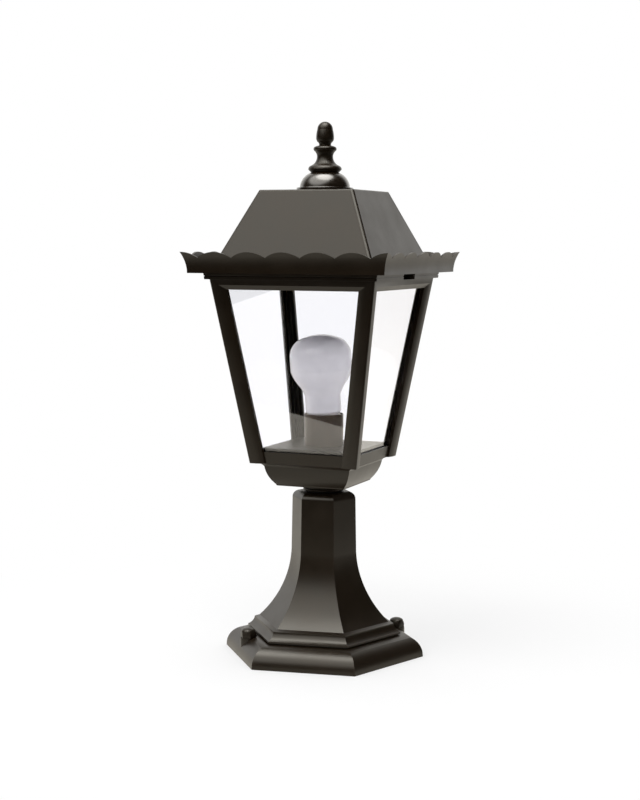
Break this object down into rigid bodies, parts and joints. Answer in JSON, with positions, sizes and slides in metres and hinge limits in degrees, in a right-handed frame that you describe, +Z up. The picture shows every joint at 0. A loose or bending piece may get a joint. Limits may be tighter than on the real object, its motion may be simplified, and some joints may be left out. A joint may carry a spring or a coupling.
{
  "type": "pedestal lamp",
  "caption": "Square glazed garden lantern with a scalloped lift-off roof and acorn finial, on a flared hexagonal pedestal with a moulded foot.",
  "frame": {"origin": "middle of the foot's underside, on the ground", "axes": "+Z up; the lantern's sides face X and Y, with the front towards -Y; the hexagonal pedestal is turned under it"},
  "size_m": [0.2, 0.2, 0.5],
  "materials": {
    "coat": "satin powder coat, dark bronze",
    "steel": "zinc plated",
    "pane_glass": "clear and polished",
    "frosted_glass": "frosted inside",
    "ceramic": "unglazed",
    "brass": "bare",
    "rubber": "matt"
  },
  "bodies": {
    "lamp_base": {"pedestal": "coat", "cap_nuts": "coat", "neck_collar": "coat", "lantern_cage": "coat", "floor_plate": "coat", "holder_sleeve": "coat", "anchor_washers": "steel", "neck_tube": "steel", "tube_washers": "steel", "tube_nuts": "steel", "terminal_screws": "steel", "earth_screw": "steel", "glass_front": "pane_glass", "glass_right": "pane_glass", "glass_back": "pane_glass", "glass_left": "pane_glass", "neck_gasket": "rubber", "lamp_holder": "ceramic", "screw_shell": "brass", "centre_contact": "brass", "bulb": "frosted_glass"},
    "roof_assembly": {"roof": "coat", "dome_cap": "coat", "finial": "coat", "finial_stud": "steel", "finial_washer": "steel", "finial_nut": "steel"}
  },
  "joints": [
    {"name": "roof_lift", "type": "slide", "parent": "lamp_base", "child": "roof_assembly", "axis": [0, 0, 1], "range_m": [0, 0.12]}
  ]
}
